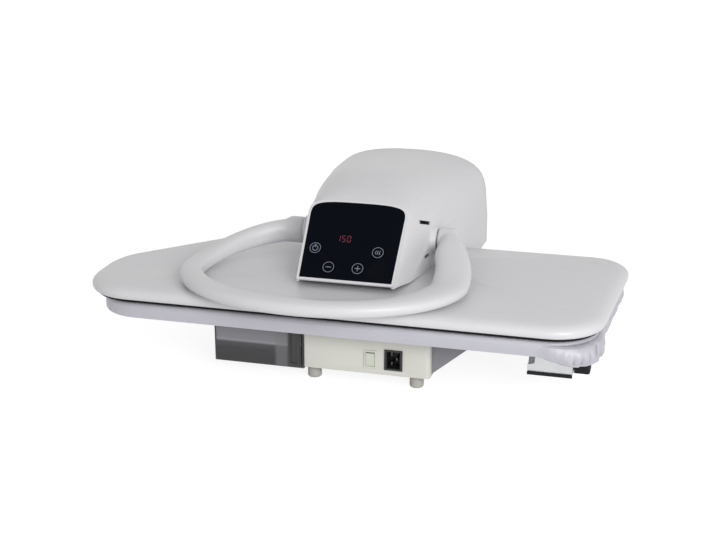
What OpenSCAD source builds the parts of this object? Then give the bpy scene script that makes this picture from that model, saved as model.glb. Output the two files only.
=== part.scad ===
// Table-top steam ironing press: a padded board on a low base, and a heated shoe
// that closes on it, carried by an arched head on a rear hinge.
// The origin is on the table, under the middle of the closed press.
// X runs along the board to the right, Y to the rear, Z up.

/* [Board] */
// Length of the board and shoe
board_l = 645; // [560:1:780]
// Depth of the board and shoe
board_w = 280; // [250:1:330]
// Corner radius at the right end
corner_r = 48; // [25:1:60]
// How far the right end slants in towards the front
end_slant = 22; // [0:1:30]
// Radius of the nose at the left end
nose_r = 75; // [60:1:90]
// How far the rear edge is cut back at the nose
nose_cut = 144; // [120:1:160]
// How far the shoe reaches past the board at the nose
nose_step = 10; // [0:1:14]
// Height of the table-side face of the heated plate
press_z = 92.5; // [88:0.5:110]
// Thickness of the foam pad
foam_t = 8; // [4:0.5:9]
// Thickness of the board cover cloth
cloth_t = 2; // [1.5:0.5:2.5]
// Height of the pan's skirt
pan_skirt = 8; // [4:1:12]

/* [Shoe] */
// Thickness of the heated plate
plate_t = 5; // [4:0.5:7]
// Height of the shoe moulding above its rim
shoe_h = 15; // [14:1:24]
// Wall of the plastic mouldings
wall = 2.5; // [2:0.5:3]
// How far the shoe moulding stands out past the plate
shoe_lap = 6; // [6:0.5:12]

/* [Head] */
// Height of the head's crown above the table
head_top = 219; // [214:1:245]
// How far the head reaches behind the board
head_back = 150; // [145:1:170]
// Half width of the head at the control panel
head_front_w = 63; // [63:1:72]
// Half width of the head at the rear
head_rear_w = 106; // [100:1:114]
// How far the panel's foot stands behind the board's front edge
panel_y = 57; // [52:1:62]
// Lean of the panel from upright, degrees
panel_lean = 43; // [40:0.5:46]

/* [Handle] */
// Half length of the loop, centre to centre
loop_a = 163; // [145:1:175]
// Half depth of the loop towards the front
loop_b = 110; // [100:1:125]
// How far the loop sits to the left of the head
loop_shift = 29; // [0:1:36]
// Width of the loop's section
loop_w = 30; // [24:1:34]
// Height of the loop's section
loop_t = 19; // [15:1:20]
// Height of the lever shaft
shaft_z = 142; // [140:1:152]
// Radius of the lever shaft
shaft_r = 5; // [4:0.5:6]

/* [Base] */
// Height of the rubber feet
foot_h = 17; // [14:1:24]
// Radius of the rubber feet
foot_r = 8.5; // [7:0.5:12]
// Half width of the base tub at the bottom
tub_low = 110; // [100:1:120]
// Half width of the base tub at the top
tub_high = 182; // [175:1:195]
// Width of the water tank
tank_w = 107; // [90:1:108]
// Depth of the water tank
tank_d = 120; // [90:1:125]
// Radius of the hinge pin
pin_r = 6; // [5:0.5:7]

/* [Hidden] */
$fn = 48;

// Clearances
fit = 0.06;
gap = 0.4;
slide_gap = 1.5;

// Places along Y: front edge of the board, then the whole press about the origin
loop_yc = 72;
front_reach = loop_b - loop_yc + loop_w / 2;
total_d = front_reach + board_w + head_back;
fy = front_reach - total_d / 2;
rear_y = fy + board_w + head_back;
board_back = fy + board_w;

// Heights
floor_t = 2.5;
tub_z = foot_h + floor_t;
pan_t = 2;
foam_z = press_z - gap - cloth_t - foam_t;
pan_z = foam_z - gap;
pan_low = pan_z - pan_skirt;
plate_top = press_z + plate_t;
shoe_low = press_z + 4.5;
shoe_top = shoe_low + shoe_h;

// Board outline: corners as [x, y from the front edge, radius]
// The rounding of the slanted end takes tip_loss off its tip, so its corners stand out by that much
half_l = board_l / 2;
tip_loss = 4;
right_l = half_l + tip_loss;
nose_tip_y = 124;
function outline_corners(step) =
    [[-half_l + step, 0, nose_r - 10], [right_l - end_slant, 0, corner_r + 14],
     [right_l, board_w, corner_r], [-half_l + step + nose_cut, board_w, nose_r],
     [-half_l + step, nose_tip_y, nose_r]];
arc_steps = 8;

// Points of a rounded outline, counter-clockwise, moved inwards by inset
function unit(v) = v / norm(v);
function corner_points(p, c, n, r, inset) =
    let (a = unit(p - c), b = unit(n - c), half = acos(a * b) / 2,
         centre = c + unit(a + b) * r / sin(half),
         from = atan2(-a.x, a.y), turn = 180 - 2 * half, rr = max(r - inset, 0.5),
         corner_centre = r > inset ? centre : c + unit(a + b) * (inset + 0.5) / sin(half))
    [for (i = [0 : arc_steps])
        let (t = from + 180 + turn * i / arc_steps)
        corner_centre + rr * [cos(t), sin(t)]];
function rounded(corners, inset = 0) =
    [for (i = [0 : len(corners) - 1])
        let (k = len(corners), p = corners[(i + k - 1) % k], c = corners[i], n = corners[(i + 1) % k])
        each corner_points([p.x, p.y], [c.x, c.y], [n.x, n.y], c.z, inset)];
function board_outline(inset, step = 0) =
    [for (p = rounded(outline_corners(step), inset)) [p.x, p.y + fy]];

// A flat slab of the board's outline between two heights
module board_slab(inset, low, high, step = nose_step) {
    translate([0, 0, low])
        linear_extrude(high - low)
            polygon(board_outline(inset, step));
}

// A closed skin through rings of points, all of the same count
module skin(rings) {
    n = len(rings[0]);
    m = len(rings);
    polyhedron(
        points = [for (ring = rings) each ring],
        faces = concat(
            [[for (i = [0 : n - 1]) i]],
            [for (j = [0 : m - 2]) for (i = [0 : n - 1]) let (k = (i + 1) % n)
                [j * n + i, (j + 1) * n + i, j * n + k]],
            [for (j = [0 : m - 2]) for (i = [0 : n - 1]) let (k = (i + 1) % n)
                [j * n + k, (j + 1) * n + i, (j + 1) * n + k]],
            [[for (i = [n - 1 : -1 : 0]) (m - 1) * n + i]]));
}

// A box given by its low and high corners
module block(low, high) {
    translate(low)
        cube(high - low);
}

// A round bar along X between two places
module bar_x(r, x1, x2, y, z) {
    translate([x1, y, z])
        rotate([0, 90, 0])
            cylinder(r = r, h = x2 - x1);
}

// A hose through a few points, mitred where it bends
hose_sides = 14;
function carried(ring, d, p, m) = [for (q = ring) q + d * ((p - q) * m) / (d * m)];
function hose_rings(points, ring, i) =
    let (last = i == len(points) - 1, d = unit(points[i] - points[i - 1]),
         m = last ? d : unit(d + unit(points[i + 1] - points[i])), next = carried(ring, d, points[i], m))
    last ? [next] : concat([next], hose_rings(points, next, i + 1));
module run(points, r) {
    d = unit(points[1] - points[0]);
    u = unit(cross(d, abs(d.z) < 0.9 ? [0, 0, 1] : [0, 1, 0]));
    v = cross(d, u);
    first = [for (k = [0 : hose_sides - 1]) let (q = 360 * k / hose_sides)
        points[0] + r * (cos(q) * u + sin(q) * v)];
    skin(concat([first], hose_rings(points, first, 1)));
}

// Base: tub, plate, cowl, fascia and feet
tub_front = fy + 52;
tub_back = fy + 245;
fascia_front = fy + 40;
fascia_l = -45;
fascia_r = 110;
hinge_y = fy + 385 + (head_back - 150);
hinge_z = press_z + 7.5;
cowl_back = hinge_y + 19;
cowl_w = 60;
cowl_top = pan_low - 8;
bay_r = -46;
tank_r = bay_r - 2 - slide_gap;
tank_l = tank_r - tank_w;
bay_l = tank_l - slide_gap - 2;
bay_floor = foot_h - 4;
bay_top = pan_low;
tank_z = bay_floor + 2 + gap;
tank_top = bay_top - 2 - slide_gap;
bay_back = fascia_front + tank_d + slide_gap + 2;
front_feet_y = fascia_front + 8 + foot_r;
rear_feet_y = hinge_y - 2;
foot_places = [[-36, front_feet_y], [91, front_feet_y], [-48, rear_feet_y], [48, rear_feet_y]];

// Cross-section of the tub, moved inwards by t
module tub_section(t) {
    polygon([[-tub_low + t, tub_z - (t > 0 ? 1 : 0)], [tub_low - t, tub_z - (t > 0 ? 1 : 0)],
             [tub_high - t, pan_z - pan_t - t], [-tub_high + t, pan_z - pan_t - t]]);
}

module tub_bar(t) {
    translate([0, tub_back - t, 0])
        rotate([90, 0, 0])
            linear_extrude(tub_back - tub_front - 2 * t)
                tub_section(t);
}

cheek_in = 40;
cheek_t = 4;
module base_tub() color("gainsboro") difference() {
    tub_bar(0);
    tub_bar(wall);
    block([bay_l - 0.5, tub_front - 1, 0], [bay_r + 0.5, bay_back + 0.5, bay_top + 0.5]);
    block([fascia_l + wall + 1, tub_front - 1, tub_z + 2],
          [fascia_r - wall - 1, tub_front + wall + 1, bay_top - 4]);
    block([-cheek_in - 8, tub_back - wall - 1, 0], [cheek_in + 8, tub_back + 1, cowl_top]);
    block([-56, tub_back - wall - 1, 24], [56, tub_back + 1, 40]);
}

module base_plate() color("darkgray") difference() {
    union() {
        block([-tub_low, tub_front, foot_h], [tub_low, tub_back, tub_z]);
        block([fascia_l + wall, fascia_front + wall, foot_h], [fascia_r - wall, tub_front, tub_z]);
        block([-cowl_w, tub_back, foot_h], [cowl_w, cowl_back, tub_z]);
    }
    block([bay_l - 0.5, tub_front - 20, 0], [bay_r + 0.5, bay_back + 0.5, 60]);
}

module rear_cowl() color("ivory") difference() {
    block([-cowl_w, tub_back, tub_z], [cowl_w, cowl_back, cowl_top]);
    block([-cowl_w + wall, tub_back - 1, tub_z - 1], [cowl_w - wall, cowl_back - wall, cowl_top + 1]);
}

// Switch and inlet places on the fascia
rocker_x = 38;
rocker_z = 36;
rocker_w = 15;
rocker_h = 22;
inlet_x = 66;
inlet_z = 37;
inlet_w = 22;
inlet_h = 26;
module control_fascia() color("ivory") difference() {
    translate([0, 0, foot_h])
        linear_extrude(pan_low - foot_h)
            polygon(rounded([[fascia_l, fascia_front, 2], [fascia_r, fascia_front, 6],
                             [fascia_r, tub_front, 0.6], [fascia_l, tub_front, 0.6]]));
    block([fascia_l + wall, fascia_front + wall, foot_h - 1],
          [fascia_r - wall, tub_front + 1, pan_low - wall]);
    block([rocker_x - rocker_w / 2 + 1, fascia_front - 1, rocker_z - rocker_h / 2 + 1],
          [rocker_x + rocker_w / 2 - 1, fascia_front + wall + 1, rocker_z + rocker_h / 2 - 1]);
    block([inlet_x - inlet_w / 2 + 1, fascia_front - 1, inlet_z - inlet_h / 2 + 1],
          [inlet_x + inlet_w / 2 - 1, fascia_front + wall + 1, inlet_z + inlet_h / 2 - 1]);
}

// The tank slides in this bay from the front
module tank_bay() color("darkgray") difference() {
    block([bay_l, fascia_front + 4, bay_floor], [bay_r, bay_back, bay_top]);
    block([bay_l + 2, fascia_front - 1, bay_floor + 2], [bay_r - 2, bay_back - 2, bay_top - 2]);
    translate([tank_x, bay_back - 3, valve_z])
        rotate([-90, 0, 0])
            cylinder(r = valve_r, h = 4);
}

module rubber_feet() color("ivory") for (p = foot_places)
    translate([p.x, p.y, 0]) {
        cylinder(r1 = foot_r - 1, r2 = foot_r, h = 2);
        translate([0, 0, 2])
            cylinder(r = foot_r, h = foot_h - 2);
    }

// Mains rocker: a bezel in the fascia and a rocker on a pin in it
frame_w = 2;
module rocker_frame() color("ivory") difference() {
    union() {
        block([rocker_x - rocker_w / 2, fascia_front - 1.5, rocker_z - rocker_h / 2],
              [rocker_x + rocker_w / 2, fascia_front, rocker_z + rocker_h / 2]);
        block([rocker_x - rocker_w / 2 + 1, fascia_front, rocker_z - rocker_h / 2 + 1],
              [rocker_x + rocker_w / 2 - 1, fascia_front + 16, rocker_z + rocker_h / 2 - 1]);
    }
    block([rocker_x - rocker_w / 2 + frame_w, fascia_front - 2, rocker_z - rocker_h / 2 + frame_w],
          [rocker_x + rocker_w / 2 - frame_w, fascia_front + 12, rocker_z + rocker_h / 2 - frame_w]);
    bar_x(rocker_pin_r + fit, rocker_x - rocker_w / 2 + 0.9, rocker_x + rocker_w / 2 - 0.9,
          rocker_y, rocker_z);
}
rocker_pin_r = 1.2;
rocker_y = fascia_front + 3;

rocker_len = rocker_h - 2 * frame_w - 2;
module rocker() color("honeydew") {
    bar_x(rocker_pin_r, rocker_x - rocker_w / 2 + 1.1, rocker_x + rocker_w / 2 - 1.1, rocker_y, rocker_z);
    translate([rocker_x - rocker_w / 2 + frame_w + gap, fascia_front, rocker_z])
        rotate([90, 0, 90])
            linear_extrude(rocker_w - 2 * frame_w - 2 * gap)
                polygon([[-2.6, -rocker_len / 2], [-1, 0], [-3.4, rocker_len / 2],
                         [1.5, rocker_len / 2], [6, 2.5], [6, -2.5], [1.5, -rocker_len / 2]]);
}

module inlet_body() color("black") difference() {
    union() {
        block([inlet_x - inlet_w / 2, fascia_front - 1.5, inlet_z - inlet_h / 2],
              [inlet_x + inlet_w / 2, fascia_front, inlet_z + inlet_h / 2]);
        block([inlet_x - inlet_w / 2 + 1, fascia_front, inlet_z - inlet_h / 2 + 1],
              [inlet_x + inlet_w / 2 - 1, fascia_front + 22, inlet_z + inlet_h / 2 - 1]);
    }
    block([inlet_x - inlet_w / 2 + 3, fascia_front - 2, inlet_z - inlet_h / 2 + 2.5],
          [inlet_x + inlet_w / 2 - 3, fascia_front + 18, inlet_z + inlet_h / 2 - 2.5]);
}

module inlet_pins() color("silver") for (p = [[-3, -6], [3, 0], [-3, 6]])
    block([inlet_x + p.x - 1, fascia_front + 4, inlet_z + p.y - 2],
          [inlet_x + p.x + 1, fascia_front + 18, inlet_z + p.y + 2]);

// Water tank with a filler cap in a well, and a grip at its right
tank_x = (tank_l + tank_r) / 2;
cap_y = fascia_front + 45;
cap_r = 16;
cap_t = 6;
well_z = tank_top - cap_t - 1;
valve_z = tank_z + 14;
valve_r = 6;
module tank_block(t) {
    block([tank_l + t, fascia_front + t, tank_z + t],
          [tank_r - t, fascia_front + tank_d - t, tank_top - t]);
}

module water_tank() color("dimgray") difference() {
    tank_block(0);
    difference() {
        tank_block(2);
        translate([tank_x, cap_y, well_z - 2])
            cylinder(r = cap_r + 3, h = 20);
    }
    translate([tank_x, cap_y, well_z])
        cylinder(r = cap_r + 1, h = 20);
    translate([tank_x, cap_y, well_z - 4])
        cylinder(r = cap_r - 5, h = 20);
    translate([tank_x, fascia_front + tank_d - 3, valve_z])
        rotate([-90, 0, 0])
            cylinder(r = 4 + fit, h = 4);
}

module tank_pull() color("dimgray") difference() {
    block([tank_r - 14, fascia_front - 3, tank_z + 1], [tank_r, fascia_front, tank_top]);
    block([tank_r - 11, fascia_front - 4, tank_z + 6], [tank_r - 3, fascia_front - 1.2, tank_top - 6]);
}

module filler_cap() color("black") translate([tank_x, cap_y, well_z + 0.1]) {
    difference() {
        cylinder(r = cap_r, h = cap_t);
        for (s = [-1, 1])
            translate([s * 8, 0, 2])
                block([-5, -11, 0], [5, 11, cap_t]);
    }
}

module tank_valve() color("silver") translate([tank_x, 0, valve_z]) {
    translate([0, fascia_front + tank_d + 0.2, 0])
        rotate([-90, 0, 0])
            cylinder(r = valve_r, h = 14);
}

module water_pump() color("gray") {
    block([-30, bay_back + 12, tub_z], [30, bay_back + 48, tub_z + 34]);
    translate([0, bay_back + 12, tub_z + 17])
        rotate([90, 0, 0])
            cylinder(r = 13, h = 20);
}

// Water hose and wires: a lower run up to the hinge axis, and an upper run from it
run_x = 52;
hose_r = 4;
module hose_lower() color("whitesmoke")
    run([[30, bay_back + 30, tub_z + 10], [run_x, bay_back + 30, tub_z + 10],
         [run_x, hinge_y, tub_z + 10], [run_x, hinge_y, hinge_z], [run_x + 5, hinge_y, hinge_z]], hose_r);

module loom_lower() color("black")
    run([[-30, bay_back + 30, tub_z + 10], [-run_x, bay_back + 30, tub_z + 10],
         [-run_x, hinge_y, tub_z + 10], [-run_x, hinge_y, hinge_z], [-run_x - 5, hinge_y, hinge_z]], hose_r);

// Board: pressed pan, foam and cloth
module board_pan() color("silver") difference() {
    board_slab(10.2, pan_low, pan_z);
    board_slab(12, pan_low - 1, pan_z - pan_t);
}

module foam_pad() color("khaki")
    board_slab(10.2, foam_z, foam_z + foam_t);

hem_w = 11;
module board_cover() color("lavender") difference() {
    board_slab(shoe_lap, pan_low - cloth_t - 0.3, foam_z + foam_t + cloth_t);
    board_slab(shoe_lap + 2.4, pan_low - 0.3, foam_z + foam_t + 0.1);
    board_slab(shoe_lap + hem_w, pan_low - cloth_t - 1, pan_low + 1);
}

// Rear hinge bracket: a floor plate and two cheeks
bracket_floor = 3;
module cheek(x) {
    translate([x, 0, 0])
        rotate([90, 0, 90])
            linear_extrude(cheek_t)
                union() {
                    polygon([[hinge_y - 165, tub_z + bracket_floor], [hinge_y + 10, tub_z + bracket_floor],
                             [hinge_y + 16, hinge_z - 30], [hinge_y + 17, hinge_z], [hinge_y - 17, hinge_z],
                             [hinge_y - 45, hinge_z - 12], [hinge_y - 92, cowl_top - 2],
                             [hinge_y - 165, cowl_top - 14]]);
                    translate([hinge_y, hinge_z])
                        circle(r = 17);
                }
}

module rear_bracket() color("silver") difference() {
    union() {
        block([-cheek_in - cheek_t, hinge_y - 165, tub_z],
              [cheek_in + cheek_t, hinge_y + 10, tub_z + bracket_floor]);
        cheek(cheek_in);
        cheek(-cheek_in - cheek_t);
    }
    bar_x(pin_r, -60, 60, hinge_y, hinge_z);
}

module hinge_pin() color("silver")
    bar_x(pin_r, -cheek_in - cheek_t - 2, cheek_in + cheek_t + 2, hinge_y, hinge_z);

arm_in = 26;
arm_t = 4;
module torsion_springs() color("dimgray") for (s = [-1, 1])
    difference() {
        bar_x(11, min(s * (arm_in + arm_t + 1.5), s * (cheek_in - gap)),
              max(s * (arm_in + arm_t + 1.5), s * (cheek_in - gap)), hinge_y, hinge_z);
        bar_x(pin_r, -60, 60, hinge_y, hinge_z);
    }

// Folded bracket under the right end of the board
end_l = half_l - 99;
end_r = end_l + 52;
end_front = fy + 46;
end_back = fy + 92;
end_low = 37.5;
sheet = 2;
buffer_w = 18;
buffer_h = 26;
module end_bracket() color("silver") {
    block([end_l, end_front, end_low], [end_r, end_back, end_low + sheet]);
    translate([0, end_front, 0])
        rotate([90, 0, 0])
            linear_extrude(sheet)
                polygon([[end_l, end_low - 2], [end_r, end_low - 2], [end_r, end_low + 34],
                         [end_l + 10, end_low + 34], [end_l + 8, end_low + 12], [end_l, end_low + 10]]);
    for (x = [end_l, end_r - sheet])
        translate([x, 0, 0])
            rotate([90, 0, 90])
                linear_extrude(sheet)
                    polygon([[end_front, end_low + sheet], [end_back, end_low + sheet],
                             [end_back, pan_z - pan_t - sheet], [end_front + 16, pan_z - pan_t - sheet],
                             [end_front + 16, end_low + 18]]);
    block([end_l, end_front + 16, pan_z - pan_t - sheet], [end_r + 8, end_back, pan_z - pan_t]);
}

// A rubber block on the bracket's side, and a rubber strip along its lower edge
module bracket_buffer() color("black") {
    translate([0, 0, end_low - 4])
        linear_extrude(buffer_h)
            polygon(rounded([[end_r, end_front + 18, 0.6], [end_r + buffer_w, end_front + 18, 3],
                             [end_r + buffer_w, end_back - 4, 3], [end_r, end_back - 4, 0.6]]));
    block([end_l, end_front - sheet - 2, end_low - 2], [end_r, end_front - sheet, end_low + 2]);
}

base_screw_places = [[tub_low - 12, tub_back - 12], [-tub_low + 12, tub_back - 12],
                     [tub_low - 12, tub_front + 40], [-cowl_w + 30, cowl_back - 40],
                     [cowl_w - 30, cowl_back - 40]];
module base_screws() color("dimgray") for (p = base_screw_places)
    translate([p.x, p.y, foot_h - 1.6])
        cylinder(r = 3.5, h = 1.6);

// Heated plate and what lies on it
module heat_plate() color("dimgray")
    board_slab(shoe_lap, press_z, plate_top, 0);

element_y = [fy + 84, fy + 222];
element_bend = (element_y[1] - element_y[0]) / 2;
element_s = 6;
module heating_element() color("silver") translate([0, 0, plate_top]) {
    for (y = element_y)
        block([-205, y - element_s / 2, 0], [150, y + element_s / 2, element_s]);
    translate([150, (element_y[0] + element_y[1]) / 2, 0])
        rotate([0, 0, -90])
            rotate_extrude(angle = 180)
                translate([element_bend - element_s / 2, 0])
                    square(element_s);
}

chamber_y = fy + 172;
foot_z = shoe_top - 3;
module steam_chamber() color("lightgray")
    block([-92, chamber_y - 42, plate_top], [92, chamber_y + 42, foot_z]);

module insulation() color("khaki") difference() {
    board_slab(34, plate_top + element_s, shoe_top - wall - 1, 0);
    block([-93, chamber_y - 43, 0], [93, chamber_y + 43, shoe_top]);
    block([140, fy + 60, 0], [180, fy + 84 - 8, shoe_top]);
}

module thermostat() color("gray") translate([160, fy + 68, plate_top]) {
    cylinder(r = 7, h = 8);
    cylinder(r = 10, h = 1.5);
}

// Shoe moulding: rings of the outline down the inside, over the rim and up to the crown
shoe_profile = [[1.5, 0], [0.3, 2], [0, 5], [0.6, 8], [3, 11], [7.5, 13.6], [14, 15], [26, 15.7], [46, 16]];
shoe_inside = [[46, 13.5], [20, 13], [12, 12], [shoe_lap + 2, 9.5]];
function shoe_ring(inset, z) = [for (p = board_outline(inset)) [p.x, p.y, z]];
module shoe_cover() color("ivory") difference() {
    skin(concat(
        [for (p = shoe_inside) shoe_ring(p[0], shoe_low + p[1] * shoe_h / 16)],
        [shoe_ring(shoe_lap + 2, plate_top), shoe_ring(shoe_lap, plate_top), shoe_ring(shoe_lap, shoe_low)],
        [for (p = shoe_profile) shoe_ring(p[0], shoe_low + p[1] * shoe_h / 16)]));
    block([-33, chamber_y - 38, shoe_top - 10], [33, chamber_y + 38, shoe_top + 1]);
    translate([hose_drop_x, hose_drop_y, shoe_top - 10])
        cylinder(r = hose_r + 1.5, h = 20);
}
hose_drop_x = 62;
hose_drop_y = chamber_y + 36;
hose_z = shoe_top + 26;
loom_z = hose_z - 12;

// Head: a sheared, tapering arch. Each station is [y at the foot's height, shear, half width,
// top, spring line, flatness of the crown, uprightness of the flanks, flare, lower edge]
head_foot = shoe_top;
chin = 7;
chin_z = head_foot + chin;
spring_z = head_foot + 1;
skirt_low = press_z - 16.5;
lean = tan(panel_lean);
front_top = head_top - 19.5;
function width_at(s) = head_front_w + (head_rear_w - head_front_w) * s;
mid_y = fy + board_w - 280;
tail_y = rear_y - 430;
rear_w = head_rear_w;
stations = [
    [fy + panel_y, lean, head_front_w, front_top, chin_z, 3.2, 24, 0.05, chin_z - 1],
    [fy + 73, 0.82, width_at(0.09), head_top - 12, chin_z - 1, 2.6, 11, 0.04, chin_z - 2],
    [fy + 100, 0.72, width_at(0.21), head_top - 6, head_foot + 3, 2.4, 6, 0.02, head_foot + 2],
    [fy + 145, 0.56, width_at(0.37), head_top - 1, spring_z, 2.3, 5, 0.01, head_foot],
    [mid_y + 200, 0.38, width_at(0.55), head_top, spring_z, 2.3, 5, 0, head_foot],
    [mid_y + 255, 0.26, width_at(0.72), head_top - 4, spring_z, 2.3, 5, 0, head_foot],
    [mid_y + 282, 0.22, width_at(0.8), head_top - 6, spring_z, 2.3, 5, -0.01, head_foot],
    [mid_y + 287, 0.21, width_at(0.81), head_top - 6.4, spring_z, 2.3, 5, -0.01, skirt_low],
    [mid_y + 330, 0.14, width_at(0.9), head_top - 10, spring_z, 2.3, 5.5, -0.03, skirt_low],
    [tail_y + 380, 0.06, width_at(0.98), head_top - 14, spring_z, 2.3, 5.5, -0.06, skirt_low],
    [tail_y + 418, 0.01, rear_w, head_top - 16, spring_z, 2.3, 5.5, -0.06, skirt_low],
    [tail_y + 427, 0, rear_w - 3, head_top - 19, spring_z, 2.3, 5.5, -0.06, skirt_low],
    [tail_y + 430, 0, rear_w - 9, head_top - 25, spring_z, 2.3, 5.5, -0.06, skirt_low]];
arch_steps = 26;
function power(v, n) = sign(v) * pow(abs(v), 2 / n);
function arch(st, inset, drop) =
    let (w = st[2] - inset, top = st[3] - inset, foot = st[4], low = st[8] - drop)
    concat([[w * (1 - st[7]), st[0] + st[1] * (low - head_foot), low]],
           [for (i = [0 : arch_steps])
               let (t = 180 * i / arch_steps, h = power(sin(t), st[6]), z = foot + (top - foot) * h)
               [w * (1 - st[7] * (1 - h)) * power(cos(t), st[5]), st[0] + st[1] * (z - head_foot), z]],
           [[-w * (1 - st[7]), st[0] + st[1] * (low - head_foot), low]]);
shell_t = 3;
last = len(stations) - 1;
// The hollow starts before the front rim and stops short of the rear wall
inner_stations = [for (i = [-1 : last])
    let (s = stations[max(i, 0)], back = i == last ? shell_t + 0.5 : i == last - 1 ? shell_t : 0)
    [s[0] - (i < 0 ? 8 : back), s[1], s[2], s[3], s[4], s[5], s[6], s[7], s[8]]];

// Where the handle's hubs sit beside the shell
shaft_y = fy + 192;
hub_in = 87;
hub_t = 23;
hub_r = 17;
boss_r = 19;
slot_place = [169, 170.5];
slot_l = 34;
slot_tilt = 18;
hole_place = [163, 130];
hole_l = 18;
pierced_h = 4.5;
pierced_x = 76;
module head_shell() color("ivory") difference() {
    union() {
        difference() {
            skin([for (i = [last : -1 : 0]) arch(stations[i], 0, 0)]);
            skin([for (i = [last : -1 : -1]) arch(inner_stations[i + 1], shell_t, 12)]);
        }
        for (s = [-1, 1])
            bar_x(boss_r, s > 0 ? hub_in - 14 : -hub_in + 0.5, s > 0 ? hub_in - 0.5 : -hub_in + 14,
                  shaft_y, shaft_z);
    }
    bar_x(shaft_r + fit, -100, 100, shaft_y, shaft_z);
    for (s = [-1, 1])
        translate([s * pierced_x, fy + slot_place[0], slot_place[1]])
            rotate([-slot_tilt, 0, 0])
                cube([30, slot_l, pierced_h], center = true);
    for (s = [-1, 1])
        translate([s * pierced_x, fy + hole_place[0], hole_place[1]])
            cube([30, hole_l, pierced_h], center = true);
}

// Control panel, in a frame that leans with the head's front
module on_panel() {
    translate([0, fy + panel_y, head_foot])
        rotate([90 - panel_lean, 0, 0])
            children();
}
function panel_point(p) = [p.x, fy + panel_y + p.y * sin(panel_lean) - p.z * cos(panel_lean),
                           head_foot + p.y * cos(panel_lean) + p.z * sin(panel_lean)];
panel_len = (front_top - head_foot) / cos(panel_lean);
panel_low = chin / cos(panel_lean);
bezel_t = 3.5;
bezel_rim = 3;
glass_t = 2;
key_r = 8;
key_travel = 0.8;
key_places = [[-44, 52], [-23, 28], [13, 29], [34, 52]];
display_place = [-11, 66];
display_size = [40, 24];
board_depth = 11;
board_t = 1.6;
stand_offs = [[-45, 22], [45, 22], [-42, 84], [42, 84]];
function panel_outline(inset) = [for (i = [0 : arch_steps])
    let (t = 180 * i / arch_steps)
    let (h = power(sin(t), stations[0][6]))
    [(head_front_w - inset) * (1 - stations[0][7] * (1 - h)) * power(cos(t), stations[0][5]),
     panel_low + inset + (panel_len - panel_low - 2 * inset) * h]];
module panel_shape(inset, low, high) {
    translate([0, 0, low])
        linear_extrude(high - low)
            polygon(panel_outline(inset));
}
module key_holes() {
    for (p = key_places)
        translate([p[0], p[1], -20])
            cylinder(r = key_r + gap, h = 30);
}

module panel_bezel() color("ivory") on_panel() {
    difference() {
        panel_shape(0, 0, bezel_t);
        panel_shape(bezel_rim, bezel_t - glass_t, bezel_t + 1);
        key_holes();
        translate([display_place[0] - display_size[0] / 2, display_place[1] - display_size[1] / 2, -20])
            cube([display_size[0], display_size[1], 30]);
    }
    for (p = stand_offs)
        translate([p[0], p[1], -board_depth])
            cylinder(r = 3, h = board_depth);
}

module panel_glass() color("black") on_panel() difference() {
    panel_shape(bezel_rim + 0.2, bezel_t - glass_t, bezel_t);
    key_holes();
}

module display() color("red") on_panel()
    translate([display_place[0] - display_size[0] / 2 + 0.5,
               display_place[1] - display_size[1] / 2 + 0.5, -board_depth])
        cube([display_size[0] - 1, display_size[1] - 1, board_depth + bezel_t - glass_t - 0.1]);

module control_board() color("green") on_panel() {
    translate([-50, 16, -board_depth - board_t])
        cube([100, 73, board_t]);
    for (p = key_places)
        translate([p[0] - 3, p[1] - 3, -board_depth])
            cube([6, 6, 3]);
}

module key(i) {
    on_panel()
        translate([key_places[i][0], key_places[i][1], 0]) {
            translate([0, 0, -1.5])
                cylinder(r = key_r, h = bezel_t + 2);
            translate([0, 0, -board_depth + 3 + key_travel + 0.05])
                cylinder(r = 2.5, h = board_depth - 4.5 - key_travel);
        }
}
module key_power() color("black") key(0);
module key_cooler() color("black") key(1);
module key_hotter() color("black") key(2);
module key_steam() color("black") key(3);

// Press arm: two cheeks from the hinge to the lever shaft, a web and a foot
module arm_cheek(x) {
    translate([x, 0, 0])
        rotate([90, 0, 90])
            linear_extrude(arm_t)
                union() {
                    polygon([[hinge_y - 14, hinge_z - 9], [hinge_y + 9, hinge_z + 13],
                             [hinge_y - 50, hinge_z + 78], [shaft_y + 8, shaft_z + 14],
                             [shaft_y - 12, shaft_z + 8], [shaft_y - 16, shaft_z - 20],
                             [chamber_y - 33, foot_z + 9], [chamber_y - 33, foot_z],
                             [chamber_y + 33, foot_z], [chamber_y + 40, hinge_z + 42],
                             [board_back + 8, hinge_z + 42], [hinge_y - 40, hinge_z + 6]]);
                    translate([hinge_y, hinge_z])
                        circle(r = 15.5);
                    translate([shaft_y, shaft_z])
                        circle(r = 15.5);
                }
}

bush_r = pin_r + 2;
module press_arm() color("silver") difference() {
    union() {
        arm_cheek(arm_in);
        arm_cheek(-arm_in - arm_t);
        block([-arm_in, chamber_y - 33, foot_z], [arm_in, chamber_y + 33, foot_z + 3]);
        block([-arm_in, shaft_y + 30, hinge_z + 62], [arm_in, hinge_y - 70, hinge_z + 66]);
    }
    bar_x(bush_r, -60, 60, hinge_y, hinge_z);
    bar_x(shaft_r + fit, -60, 60, shaft_y, shaft_z);
}

module hinge_bushes() color("goldenrod") for (s = [-1, 1])
    difference() {
        bar_x(bush_r, s > 0 ? arm_in - 0.5 : -arm_in - arm_t - 0.5,
              s > 0 ? arm_in + arm_t + 0.5 : -arm_in + 0.5, hinge_y, hinge_z);
        bar_x(pin_r + fit, -60, 60, hinge_y, hinge_z);
    }

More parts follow.
